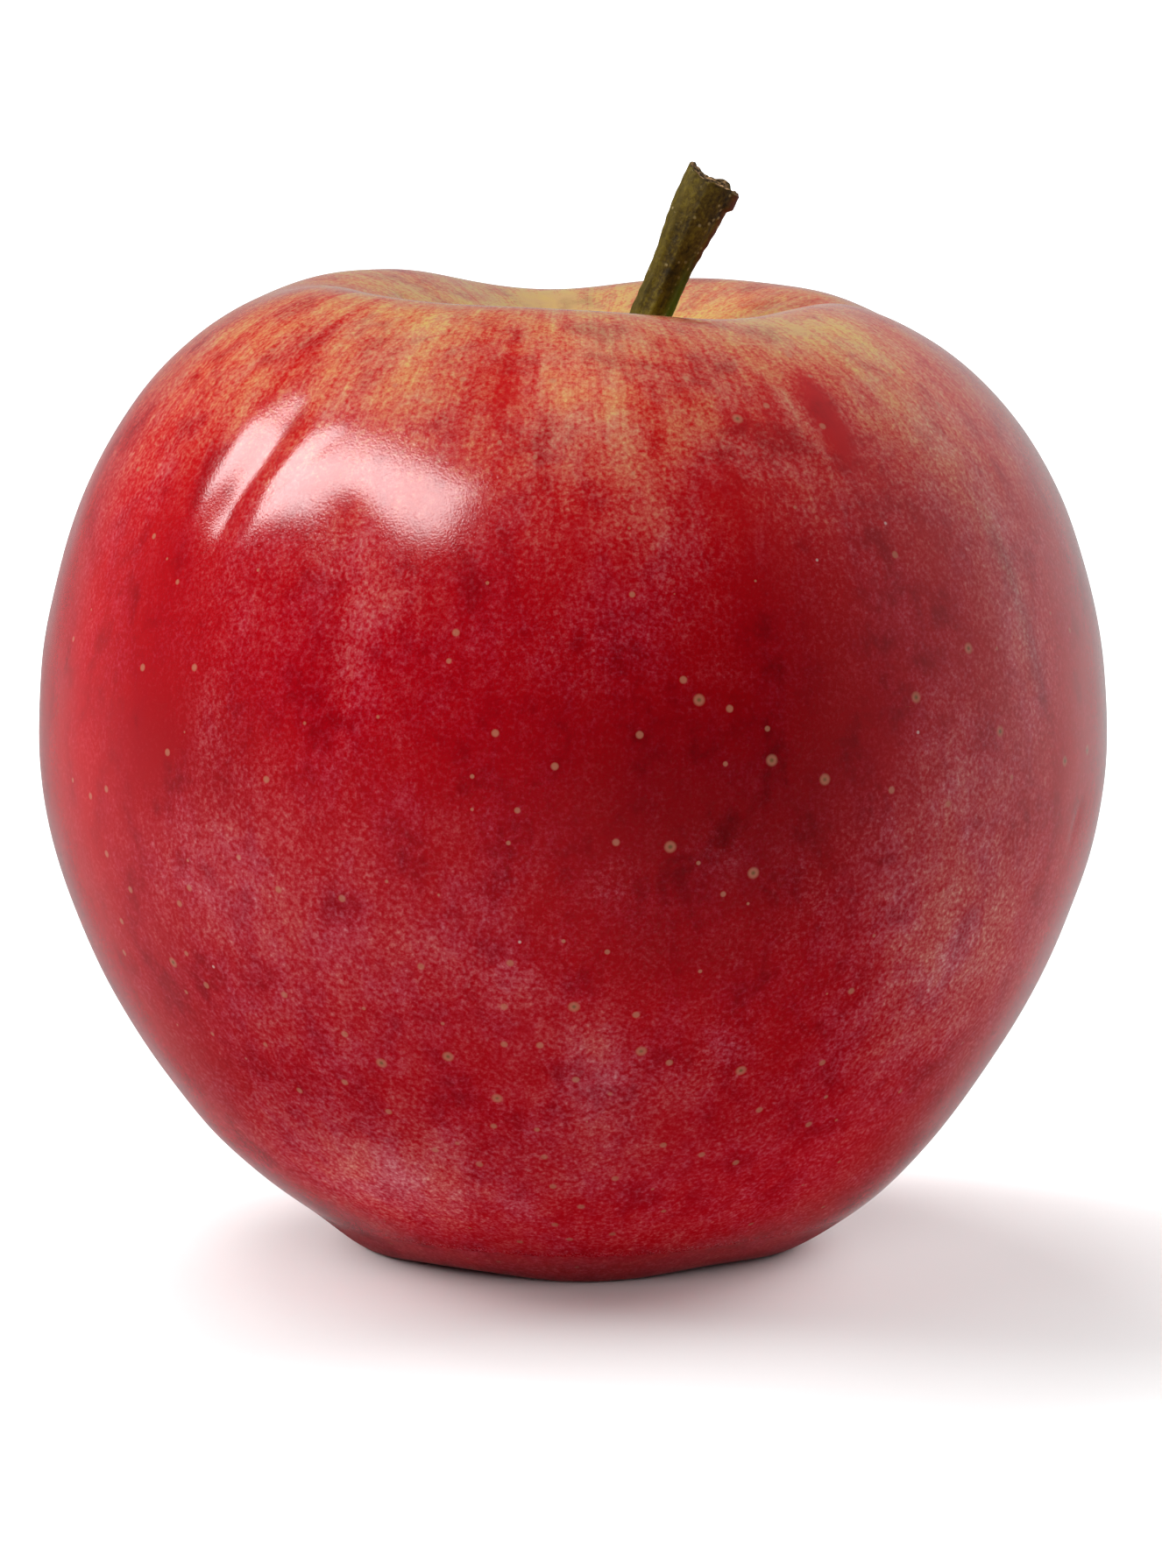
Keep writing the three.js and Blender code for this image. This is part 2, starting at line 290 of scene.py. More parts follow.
def set_attribute(piece, name, values):
    """Stores one number or one vector for each vertex, for the piece's material to read."""
    kind, key = ("FLOAT", "value") if values.ndim == 1 else ("FLOAT_VECTOR", "vector")
    attribute = piece.data.attributes.new(name, kind, "POINT")
    attribute.data.foreach_set(key, np.ascontiguousarray(values, np.float32).ravel())


# Node trees

class Wire:
    """A node's output in a Python expression: each operator adds a Math node."""

    def __init__(self, nodes, socket):
        self.nodes, self.socket = nodes, socket

    def math(self, operation, *values):
        return self.nodes.node("Math", {"operation": operation}, dict(enumerate(values)))

    def __add__(self, other):
        return self.math("ADD", self, other)

    def __sub__(self, other):
        return self.math("SUBTRACT", self, other)

    def __rsub__(self, other):
        return self.math("SUBTRACT", other, self)

    def __mul__(self, other):
        return self.math("MULTIPLY", self, other)

    __radd__ = __add__
    __rmul__ = __mul__


class Nodes:
    """The node tree of a material or of the world, wired by expressions."""

    def __init__(self, owner):
        owner.use_nodes = True
        self.owner, self.tree = owner, owner.node_tree

    def node(self, kind, settings={}, inputs={}, output=0):
        """Adds a node, sets it up, then gives its sockets their values or links."""
        made = self.tree.nodes.new("ShaderNode" + kind)
        for name, value in settings.items():
            if name == "stops":
                self.set_stops(made.color_ramp, value)
            else:
                setattr(made, name, value)
        self.feed(made, inputs)
        return Wire(self, made.outputs[output])

    def feed(self, made, inputs):
        for key, value in inputs.items():
            if isinstance(value, Wire):
                self.tree.links.new(value.socket, made.inputs[key])
            else:
                made.inputs[key].default_value = value

    def set_stops(self, ramp, stops):
        while len(ramp.elements) < len(stops):
            ramp.elements.new(1)
        for element, (place, colour) in zip(ramp.elements, stops):
            element.position, element.color = place, (*colour, 1)

    def noise(self, vector, scale, detail=2.0, roughness=0.5):
        sockets = {"Vector": vector, "Scale": scale, "Detail": detail, "Roughness": roughness}
        return self.node("TexNoise", {}, sockets)

    def rise(self, value, low, high):
        """0 below low, 1 above high, and smooth between them."""
        return self.node("MapRange", {"interpolation_type": "SMOOTHSTEP"}, {0: value, 1: low, 2: high})

    def mix(self, factor, first, second):
        colours = {0: factor, 6: opaque(first), 7: opaque(second)}
        return self.node("Mix", {"data_type": "RGBA"}, colours, 2)

    def ramp(self, value, stops):
        return self.node("ValToRGB", {"stops": stops}, {0: value})

    def stretch(self, vector, scales):
        return self.node("VectorMath", {"operation": "MULTIPLY"}, {0: vector, 1: scales})

    def attribute(self, name, output="Fac"):
        return self.node("Attribute", {"attribute_name": name}, {}, output)

    def bump(self, height, distance):
        return self.node("Bump", {}, {"Height": height, "Distance": distance})


def opaque(colour):
    return colour if isinstance(colour, Wire) else (*colour, 1)


def finish(nodes, inputs):
    """Sets the material's own shader and hands the material back."""
    nodes.feed(nodes.tree.nodes["Principled BSDF"], inputs)
    return nodes.owner


def new_nodes(name):
    return Nodes(bpy.data.materials.new(name))


# The photograph's camera

def camera_axes():
    rise = math.radians(CAMERA_ELEVATION)
    back = np.array([0, -math.cos(rise), math.sin(rise)])
    right = np.array([1.0, 0, 0])
    return CAMERA_TARGET + CAMERA_DISTANCE * back, right, np.cross(back, right), back


def make_camera():
    place, _, _, back = camera_axes()
    data = bpy.data.cameras.new("photo_view")
    data.sensor_fit = "VERTICAL"
    data.sensor_width = data.sensor_height = SENSOR
    data.lens = SENSOR * CAMERA_DISTANCE * PIXELS_PER_MM / PHOTO_HEIGHT
    data.clip_start = CAMERA_NEAR
    data.clip_end = CAMERA_FAR
    camera = bpy.data.objects.new("photo_view", data)
    camera.location = Vector(place * MM)
    camera.rotation_euler = Vector(back).to_track_quat("Z", "Y").to_euler()
    bpy.context.scene.collection.objects.link(camera)
    bpy.context.scene.camera = camera


def seen_point(tree, pixel):
    """The point of a surface that a pixel of the photograph shows, in millimetres."""
    place, right, up, back = camera_axes()
    across = (pixel[0] - PHOTO_WIDTH / 2) / PIXELS_PER_MM
    rise = (PHOTO_HEIGHT / 2 - pixel[1]) / PIXELS_PER_MM
    ray = right * across + up * rise - back * CAMERA_DISTANCE
    point = tree.ray_cast(Vector(place), Vector(ray))[0]
    return np.array(point)


# The fruit

def plain_skin(along, azimuth):
    """The solid's own skin: shares 0 to 1 from basin to cavity, azimuths in degrees from +X."""
    section = spline(MERIDIAN, along)
    radius, height = section[..., 0], section[..., 1]
    turn = np.radians(azimuth)
    reach = np.minimum(1, radius / FLOOR_RADIUS)
    valley = sum(depth * facing(azimuth, at, width) for at, depth, width in CREST_VALLEYS)
    lobe = sum(facing(azimuth, at, LOBE_WIDTH) for at, _ in BASE_LOBES)
    swell = sum(size * facing(azimuth, at, LOBE_WIDTH) for at, size in BASE_LOBES)
    drop = SHOULDER_DROP * (1 + np.cos(turn)) / 2
    radius = radius + reach * swell * bell((along - FOOT_ALONG) / FOOT_SPREAD)
    height = height - reach * valley * bell((along - CREST_ALONG) / CREST_SPREAD)
    height = height - reach * drop * bell((along - SHOULDER_ALONG) / SHOULDER_SPREAD)
    height = height + reach * BASE_NOTCH * (1 - lobe) * bell((along - BASE_ALONG) / BASE_SPREAD)
    shift = CAVITY_SHIFT * bell((1 - along) / CAVITY_SPREAD)
    return np.stack([radius * np.cos(turn) + shift, radius * np.sin(turn), np.maximum(height, 0)], -1)


def skin_grid():
    along = np.linspace(0, 1, SKIN_RINGS + 2)[1:-1]
    azimuth = np.arange(SKIN_SIDES) * 360 / SKIN_SIDES
    return np.meshgrid(along, azimuth, indexing="ij")


def skin_normals(along, azimuth):
    step = 1e-4
    up = plain_skin(along + step, azimuth) - plain_skin(along - step, azimuth)
    round_ = plain_skin(along, azimuth + 360 * step) - plain_skin(along, azimuth - 360 * step)
    return unit(np.cross(round_, up))


def line_distance(points, line):
    """Distance of each point from a line through several places, and how far along the line that is."""
    nearest, along = np.full(points.shape[:-1], np.inf), np.zeros(points.shape[:-1])
    spans = len(line) - 1
    for span, (start, end) in enumerate(zip(line[:-1], line[1:])):
        run = end - start
        share = np.clip((points - start) @ run / (run @ run), 0, 1)
        distance = np.linalg.norm(points - start - share[..., None] * run, axis=-1)
        along = np.where(distance < nearest, (span + share) / spans, along)
        nearest = np.minimum(nearest, distance)
    return nearest, along


def skin_relief(points, tree):
    """Height of the fine relief over the plain skin: soft lumps, furrows and a slit."""
    height = LUMP_HEIGHT * lumps(points, LUMP_LENGTH, LUMP_WAVES, LUMP_SEED) - LUMP_SINK
    for pixels, width, depth, taper in CREASES:
        line = [seen_point(tree, pixel) for pixel in pixels]
        distance, along = line_distance(points, line)
        height -= depth * bell(distance / width) * smoothstep(0.5 - abs(along - 0.5), 0, taper)
    return height


def painted(points, normals, tree, patches):
    """Sum of soft patches laid on the skin, each as wide and as high as its row says."""
    total = np.zeros(points.shape[:-1])
    for pixel, half_width, half_height, lean, amount in patches:
        centre = seen_point(tree, pixel)
        nearest = np.unravel_index(np.argmin(((points - centre) ** 2).sum(-1)), total.shape)
        normal = normals[nearest]
        across = unit(np.cross((0, 0, 1), normal))
        upward = np.cross(normal, across)
        tilt = math.radians(lean)
        across, upward = (across * math.cos(tilt) + upward * math.sin(tilt),
                          upward * math.cos(tilt) - across * math.sin(tilt))
        offset = points - centre
        reach = ((offset @ across) / half_width) ** 2 + ((offset @ upward) / half_height) ** 2
        total += amount * np.exp(-reach) * (normals @ normal > 0)
    return total


def lenticels(points, normals, tree):
    """The skin's dots: their places, radii and kinds, the seen ones first and then a scatter."""
    seen = [(pixel, PALE_DOT_RADIUS, 0) for pixel in PALE_DOTS]
    seen += [(pixel, DARK_DOT_RADIUS, 1) for pixel in DARK_DOTS]
    seen += [(pixel, SPECK_RADIUS, 2) for pixel in BRIGHT_SPECKS]
    dots = [(seen_point(tree, pixel), radius, kind) for pixel, radius, kind in seen]
    draw = np.random.default_rng(SCATTER_SEED)
    camera = camera_axes()[0]
    flat, flat_normals = points.reshape(-1, 3), normals.reshape(-1, 3)
    for index in draw.integers(0, len(flat), SCATTER_COUNT):
        place = flat[index]
        facing_camera = unit(camera - place) @ flat_normals[index]
        size, kind = draw.uniform(SCATTER_SMALL, SCATTER_LARGE), draw.integers(0, SCATTER_KINDS)
        if facing_camera > SEEN_SIDE:
            size, kind = size * SCATTER_SEEN, 0
        if any(np.sum((place - other) ** 2) < DOT_GAP ** 2 for other, _, _ in dots):
            continue
        dots.append((place, size, kind))
    return dots


def dot_groups(dots):
    """Deals the dots into groups in which no two lie close together."""
    groups = []
    for dot in dots:
        for group in groups:
            if all(np.sum((dot[0] - other[0]) ** 2) > DOT_ROOM ** 2 for other in group):
                group.append(dot)
                break
        else:
            groups.append([dot])
    return groups


def nearest_dot(points, dots):
    """For each point, its offset from the nearest dot in that dot's radii, and the dot's kind."""
    finder = KDTree(len(dots))
    for index, (place, _, _) in enumerate(dots):
        finder.insert(place, index)
    finder.balance()
    offsets, kinds = np.full((len(points), 3), FAR_OFF), np.zeros(len(points))
    for row, point in enumerate(points):
        _, index, distance = finder.find(point)
        place, radius, kind = dots[index]
        kinds[row] = kind
        if distance < DOT_ROOM * DOT_REACH:
            offsets[row] = (point - place) / radius
    return offsets, kinds


# Colours of the skin from full red to bare ground, on the shoulder and below it

UPPER_RED = [
    (0, (0.38, 0.005, 0.006)), (0.2, (0.40, 0.018, 0.014)), (0.4, (0.43, 0.06, 0.04)),
    (0.6, (0.46, 0.13, 0.07)), (0.8, (0.47, 0.20, 0.10)), (1, (0.48, 0.31, 0.115)),
]
LOWER_RED = [
    (0, (0.295, 0.0008, 0.005)), (0.2, (0.33, 0.008, 0.017)), (0.4, (0.37, 0.03, 0.042)),
    (0.6, (0.41, 0.065, 0.075)), (0.8, (0.46, 0.13, 0.13)), (1, (0.53, 0.25, 0.21)),
]
CAVITY_GREEN = (0.46, 0.42, 0.085)
COOL_TINT, WARM_TINT = (0.98, 0.92, 1.06), (1.03, 1.06, 0.86)
STRIPE_SCALE, STREAK_SCALE, THREAD_SCALE = (10, 10, 5), (34, 34, 10), (80, 80, 26)
STRIPE_SHARE, STREAK_SHARE, THREAD_SHARE = 0.6, 0.75, 0.5
CLOUD_SCALE, GRAIN_SCALE, TINT_SCALE, TINT_STRETCH = 0.33, 3.2, 0.25, (1, 1, 0.6)
CLOUD_SHARE, GRAIN_SHARE, GRAIN_LOST_HIGH = 0.9, 1.9, 0.5
SHOULDER_FROM, SHOULDER_TO = 0.52, 0.68
CALM_FROM, CALM_TO, CALM_SHARE = 0.79, 0.88, 0.65
HOLLOW_FROM, HOLLOW_TO, HOLLOW_SHARE = 0.795, 0.86, 0.95
SHADE_SHARE = 0.25
DOT_STRENGTH, DOT_MIDDLE = 0.55, 0.8
SKIN_FINE_SCALE, SKIN_BUMP, SKIN_IOR = 6.0, 0.000010, 1.45
SKIN_ROUGHNESS, SPECK_ROUGHNESS, FOOT_ROUGHNESS = 0.12, 0.1, 0.5
FOOT_TOP, FOOT_BOTTOM = 4.0, 1.0
DOT_TAN, DOT_OLIVE, DOT_WHITE = (0.40, 0.17, 0.10), (0.10, 0.06, 0.02), (0.6, 0.45, 0.4)


def skin_material():
    nodes = new_nodes("apple_skin")
    place = nodes.node("TexCoord", {}, {}, "Object")
    place = nodes.stretch(place, (1 / MM, 1 / MM, 1 / MM))
    flow = nodes.attribute("flow", "Vector")
    # pale carries the skin's tan ground and, low down and along the rims, partly painted light and painted
    # reflection
    pale = nodes.attribute("pale")
    deep = nodes.attribute("deep")

    stripe = nodes.noise(nodes.stretch(flow, STRIPE_SCALE), 1.0, 3.0, 0.6)
    streak = nodes.noise(nodes.stretch(flow, STREAK_SCALE), 1.0, 3.0, 0.65)
    thread = nodes.noise(nodes.stretch(flow, THREAD_SCALE), 1.0, 2.0, 0.6)
    cloud = nodes.noise(place, CLOUD_SCALE, 7.0, 0.68)
    grain = nodes.noise(place, GRAIN_SCALE, 3.0, 0.65)
    tint = nodes.noise(nodes.stretch(place, TINT_STRETCH), TINT_SCALE, 5.0, 0.65)
    rise = nodes.attribute("rise")
    high = nodes.rise(rise, SHOULDER_FROM, SHOULDER_TO)
    calm = 1 - nodes.rise(rise, CALM_FROM, CALM_TO) * CALM_SHARE

    striped = (stripe - 0.5) * STRIPE_SHARE + (streak - 0.5) * STREAK_SHARE + (thread - 0.5) * THREAD_SHARE
    mottled = (cloud - 0.5) * CLOUD_SHARE + (grain - 0.5) * (GRAIN_SHARE - high * GRAIN_LOST_HIGH)
    amount = pale + striped * (high * 0.75 + 0.15) * calm
    amount = amount + mottled * (nodes.rise(pale, -0.1, 0.3) * 0.6 + 0.4) * calm
    colour = nodes.mix(high, nodes.ramp(amount, LOWER_RED), nodes.ramp(amount, UPPER_RED))
    hollow = nodes.rise(rise, HOLLOW_FROM, HOLLOW_TO) * nodes.rise(amount, 0.5, 1.0) * HOLLOW_SHARE
    colour = nodes.mix(hollow, colour, CAVITY_GREEN)
    warm = nodes.mix(nodes.rise(tint, 0.36, 0.64), COOL_TINT, WARM_TINT)
    colour = nodes.node("VectorMath", {"operation": "MULTIPLY"}, {0: colour, 1: warm})
    # the deep patches darken the red, partly as painted shade, and brighten it low down and at the rims as
    # painted light
    shade = 1 - deep - nodes.rise(cloud * 0.5 + tint * 0.5, 0.5, 0.34) * SHADE_SHARE
    colour = nodes.node("VectorMath", {"operation": "SCALE"}, {0: colour, "Scale": shade})

    for group in range(DOT_GROUPS):
        dot = nodes.attribute(f"dot_{group}", "Vector")
        kind = nodes.attribute(f"dot_kind_{group}")
        reach = nodes.node("VectorMath", {"operation": "LENGTH"}, {0: dot}, "Value")
        spot = 1 - nodes.rise(reach, 0.6, 1.2)
        bright = nodes.rise(kind, 1.4, 1.6)
        middle = (1 - nodes.rise(reach, 0.15, 0.55)) * nodes.rise(kind, 0.4, 0.6) * (1 - bright)
        colour = nodes.mix(spot * DOT_STRENGTH, colour, nodes.mix(bright, DOT_TAN, DOT_WHITE))
        colour = nodes.mix(middle * DOT_MIDDLE, colour, DOT_OLIVE)

    fine = nodes.noise(place, SKIN_FINE_SCALE)
    normal = nodes.bump(fine, SKIN_BUMP)
    height = nodes.node("SeparateXYZ", {}, {0: place}, 2)
    foot = nodes.rise(height, FOOT_TOP, FOOT_BOTTOM)
    rough = nodes.rise(fine, 0.5, 0.68) * SPECK_ROUGHNESS + foot * FOOT_ROUGHNESS + SKIN_ROUGHNESS
    sockets = {"Base Color": colour, "Roughness": rough, "IOR": SKIN_IOR, "Normal": normal}
    return finish(nodes, sockets)


def make_fruit():
    along, azimuth = skin_grid()
    plain = plain_skin(along, azimuth)
    normals = skin_normals(along, azimuth)
    first, last = plain_skin(np.array(0.0), np.array(0.0)), plain_skin(np.array(1.0), np.array(0.0))
    vertices, faces = lofted(plain, first, last)
    tree = BVHTree.FromPolygons(vertices.tolist(), faces)
    skin = plain + normals * skin_relief(plain, tree)[..., None]
    skin[..., 2] = np.maximum(skin[..., 2], 0)
    loft = lofted(skin, first, last)
    piece = mesh_piece("apple_skin", [loft], skin_material())

    turn = np.radians(azimuth)
    flow = np.stack([np.cos(turn), np.sin(turn), along], -1).reshape(-1, 3)
    # paleness low on the fruit and pale patches along the rims and low on the right are partly painted light
    # and painted reflection
    pale = np.interp(along, *zip(*PALE_SECTION)) + painted(plain, normals, tree, PALE_SKIN_AND_PAINTED_LIGHT_PATCHES)
    # darker patches are deeper red, partly painted shade; brighter ones, mostly low down and at the rims,
    # are painted light
    deep = painted(plain, normals, tree, DEEP_RED_AND_PAINTED_SHADING_PATCHES)
    set_attribute(piece, "flow", np.concatenate([flow, [(0, 0, 0), (0, 0, 1)]]))
    set_attribute(piece, "rise", np.concatenate([along.ravel(), [0, 1]]))
    set_attribute(piece, "pale", np.concatenate([pale.ravel(), [PALE_SECTION[0][1], PALE_SECTION[-1][1]]]))
    set_attribute(piece, "deep", np.concatenate([deep.ravel(), [0, 0]]))
    for group, dots in enumerate(dot_groups(lenticels(plain, normals, tree))[:DOT_GROUPS]):
        offsets, kinds = nearest_dot(loft[0], dots)
        set_attribute(piece, f"dot_{group}", offsets)
        set_attribute(piece, f"dot_kind_{group}", kinds)
    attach(piece, "root")
    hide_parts("fruit")
    return piece


# The stalk

def stalk_frames(share):
    """Centres, tangents, sideways and forward directions of the stalk at shares of its length."""
    start, pull, end = (np.array(p, float) for p in STALK_PATH)
    step = np.linspace(0, 1, STALK_PATH_STEPS)[:, None]
    curve = (1 - step) ** 2 * start + 2 * step * (1 - step) * pull + step ** 2 * end
    run = np.concatenate([[0], np.cumsum(np.linalg.norm(np.diff(curve, axis=0), axis=1))])
    t = np.interp(share * run[-1], run, step[:, 0])[:, None]
    centre = (1 - t) ** 2 * start + 2 * t * (1 - t) * pull + t ** 2 * end
    tangent = unit(2 * (1 - t) * (pull - start) + 2 * t * (end - pull))
    sideways = unit(np.cross((0, 1, 0), tangent))
    return centre, tangent, sideways, np.cross(sideways, tangent)


def stalk_radius(share):
    root = STALK_ROOT_SWELL * (1 - smoothstep(share, 0, STALK_ROOT_TO))
    return STALK_RADIUS + root + STALK_END_FLARE * smoothstep(share, STALK_FLARE_FROM, STALK_FLARE_TO)


def stalk_wrap():
    """Shares of the stalk's length and radius at each ring, over the bark and the break, and azimuths."""
    share = np.concatenate([np.linspace(0, 1, STALK_RINGS), np.ones(STALK_END_RINGS)])
    inward = np.concatenate([np.ones(STALK_RINGS), np.linspace(1, 0, STALK_END_RINGS + 2)[1:-1]])
    return share[:, None], inward[:, None], np.arange(STALK_SIDES) * 360 / STALK_SIDES


def stalk_rings(share, inward, angle):
    turn = np.radians(angle)
    centre, tangent, sideways, forwards = stalk_frames(share[:, 0])
    reach = STALK_RADIUS * inward
    wrap = np.stack([np.cos(turn) * reach, np.sin(turn) * reach, STALK_LENGTH * share + 0 * turn], -1)
    ridges = sum(height * np.cos(count * turn + phase) for count, height, phase in BARK_RIDGES)
    collar = COLLAR_HEIGHT * facing(angle, 0, COLLAR_WIDTH) * smoothstep(share, COLLAR_FROM, COLLAR_TO)
    warts = WART_HEIGHT * lumps(wrap, WART_LENGTH, RELIEF_WAVES, WART_SEED)
    radius = (stalk_radius(share) + ridges + collar + warts) * inward
    right, front = np.cos(turn) * radius, -np.sin(turn) * radius
    teeth = sum(height * facing(angle, at, width) for at, height, width in STALK_END_TEETH)
    fibres = FIBRE_HEIGHT * lumps(wrap, FIBRE_LENGTH, RELIEF_WAVES, FIBRE_SEED)
    torn = fibres * smoothstep(share, COLLAR_FROM, 1)
    broken = teeth * inward - STALK_END_SLANT * right - STALK_END_PIT * (1 - inward)
    lift = broken * smoothstep(share, STALK_BREAK_FROM, 1) + torn
    across = right[..., None] * sideways[:, None] + front[..., None] * forwards[:, None]
    return centre[:, None] + across + lift[..., None] * tangent[:, None], wrap


# Colours of the bark from its cracks to its ridges, of its edges and of the break; the olive on the left
# edge, the side the window lights, is partly painted light

BARK = [(0.38, (0.018, 0.010, 0.001)), (0.5, (0.068, 0.042, 0.002)), (0.6, (0.125, 0.088, 0.005))]
LEFT_OLIVE_AND_PAINTED_LIGHT, LOW_GREEN, RED_EDGE = (0.095, 0.068, 0.002), (0.06, 0.12, 0.008), (0.11, 0.012, 0.006)
BARK_DOT = (0.30, 0.23, 0.10)
TORN = [(0.4, (0.02, 0.011, 0.004)), (0.5, (0.10, 0.06, 0.02)), (0.6, (0.40, 0.23, 0.11))]
BARK_STRETCH, BARK_STREAK_SCALE, BARK_FLECK_SCALE = (1, 1, 0.2), 1.7, 3.0
WART_SCALE, WART_PATCH_SCALE, TORN_SCALE = 1.8, 0.7, 2.4
BARK_BUMP, BARK_ROUGHNESS, DRY_SPECULAR = 0.00014, 0.7, 0.2


def stalk_material():
    nodes = new_nodes("stalk_bark")
    place = nodes.stretch(nodes.node("TexCoord", {}, {}, "Object"), (1 / MM, 1 / MM, 1 / MM))
    wrap = nodes.attribute("wrap", "Vector")
    side, share, torn = nodes.attribute("side"), nodes.attribute("share"), nodes.attribute("torn")
    streak = nodes.noise(nodes.stretch(wrap, BARK_STRETCH), BARK_STREAK_SCALE, 4.0, 0.65)
    fleck = nodes.noise(place, BARK_FLECK_SCALE, 3.0, 0.65)
    upper = nodes.rise(share, 0.6, 0.8)

    bark = nodes.ramp(streak * 0.55 + fleck * 0.45, BARK)
    # the left edge, on the window's side, turns olive, partly as painted light
    bark = nodes.mix(nodes.rise(side, -0.25, -0.95) * 0.5, bark, LEFT_OLIVE_AND_PAINTED_LIGHT)
    bark = nodes.mix(nodes.rise(side, 0.35, 0.85) * (1 - upper) * 0.7, bark, LOW_GREEN)
    bark = nodes.mix(nodes.rise(side, 0.8, 1.0) * upper * 0.8, bark, RED_EDGE)
    wart = nodes.node("TexVoronoi", {"feature": "F1"}, {"Vector": place, "Scale": WART_SCALE}, "Distance")
    wart = nodes.rise(wart, 0.32, 0.14) * nodes.rise(nodes.noise(place, WART_PATCH_SCALE), 0.44, 0.56)
    bark = nodes.mix(wart * nodes.rise(share, 0.3, 0.7) * 0.7, bark, BARK_DOT)
    split = nodes.ramp(nodes.noise(place, TORN_SCALE, 4.0, 0.7), TORN)
    colour = nodes.mix(nodes.rise(torn, 0.0, 0.12), bark, split)
    normal = nodes.bump(streak * 0.6 + wart * 0.3 + fleck * 0.4, BARK_BUMP)
    dull = {"Roughness": BARK_ROUGHNESS, "Specular IOR Level": DRY_SPECULAR}
    return finish(nodes, {"Base Color": colour, "Normal": normal, **dull})


def make_stalk():
    share, inward, angle = stalk_wrap()
    rings, wrap = stalk_rings(share, inward, angle)
    piece = mesh_piece("apple_stalk", [lofted(rings, rings[0].mean(0), rings[-1].mean(0))], stalk_material())
    every = np.ones(rings.shape[:2])
    ends = [(0, 0, 0), (0, 0, STALK_LENGTH)]
    right = every * np.cos(np.radians(angle)) * inward
    set_attribute(piece, "wrap", np.concatenate([wrap.reshape(-1, 3), ends]))
    set_attribute(piece, "side", np.concatenate([right.ravel(), [0, 0]]))
    set_attribute(piece, "share", np.concatenate([(every * share).ravel(), [0, 1]]))
    set_attribute(piece, "torn", np.concatenate([(every * (1 - inward)).ravel(), [0, 1]]))
    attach(piece, "root")
    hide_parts("stalk")
    return piece


# The calyx

def sepal_loft(index):
    along = np.linspace(0, 1, SEPAL_RINGS)
    angle = np.arange(SEPAL_SIDES) * 2 * math.pi / SEPAL_SIDES
    middle = spline(SEPAL_PATH, along)
    tangent = unit(np.gradient(middle, axis=0))
    width = SEPAL_WIDTH + (SEPAL_TIP_WIDTH - SEPAL_WIDTH) * along ** 2
    across = -np.cos(angle) / 2
    outward = np.sin(angle) / 2 * SEPAL_THICKNESS - SEPAL_CUP * (2 * across) ** 2 * (1 - along[:, None])
    radius = middle[:, :1] - tangent[:, 1:] * outward
    height = middle[:, 1:] + tangent[:, :1] * outward
    sideways = across * width[:, None]
    turn = np.radians(SEPAL_TURN + index * 360 / SEPAL_COUNT + SEPAL_TWIST[index] * along)[:, None]
    x = radius * np.cos(turn) - sideways * np.sin(turn)
    y = radius * np.sin(turn) + sideways * np.cos(turn)
    rings = np.stack([x, y, height], -1)
    rings[..., 2] += SEPAL_WRINKLE * lumps(rings, WRINKLE_LENGTH, RELIEF_WAVES, WRINKLE_SEED)
    return lofted(rings, rings[0].mean(0), rings[-1].mean(0))


def stamen_lofts():
    """Thin dried threads that stand in a ring between the sepals, each bent its own way."""
    draw = np.random.default_rng(STAMEN_SEED)
    along = np.linspace(0, 1, STAMEN_RINGS)
    angle = np.arange(STAMEN_SIDES) * 2 * math.pi / STAMEN_SIDES
    threads = []
    for index in range(STAMEN_COUNT):
        turn = (index + draw.uniform(-STAMEN_STRAY, STAMEN_STRAY)) * 2 * math.pi / STAMEN_COUNT
        out = np.array([math.cos(turn), math.sin(turn), 0])
        beside = np.array([-math.sin(turn), math.cos(turn), 0])
        tip = STAMEN_TIP[0] * draw.uniform(*STAMEN_REACHES)
        reach = STAMEN_ROOT[0] + (tip - STAMEN_ROOT[0]) * along ** 2
        height = STAMEN_ROOT[1] + (STAMEN_TIP[1] - STAMEN_ROOT[1]) * along * draw.uniform(*STAMEN_LENGTHS)
        bend = draw.uniform(-STAMEN_BEND, STAMEN_BEND) * along ** 2
        middle = reach[:, None] * out + bend[:, None] * beside + height[:, None] * np.array([0, 0, 1])
        swell = 1 + ANTHER_SWELL * bell((along - ANTHER_ALONG) / ANTHER_SPREAD)
        radius = STAMEN_RADIUS * swell[:, None, None]
        ring = np.cos(angle)[:, None] * out - np.sin(angle)[:, None] * beside
        rings = middle[:, None] + radius * ring
        threads.append(lofted(rings, rings[0].mean(0), rings[-1].mean(0)))
    return threads


DRY_BROWN = [(0.3, (0.035, 0.02, 0.008)), (0.5, (0.13, 0.085, 0.04)), (0.7, (0.26, 0.2, 0.11))]
DOWN_GREY = (0.36, 0.31, 0.22)
DRY_PATCH_SCALE, VEIN_STRETCH, DOWN_SCALE = 0.8, (3, 3, 0.8), 5.0
CALYX_BUMP, CALYX_ROUGHNESS = 0.00015, 0.9


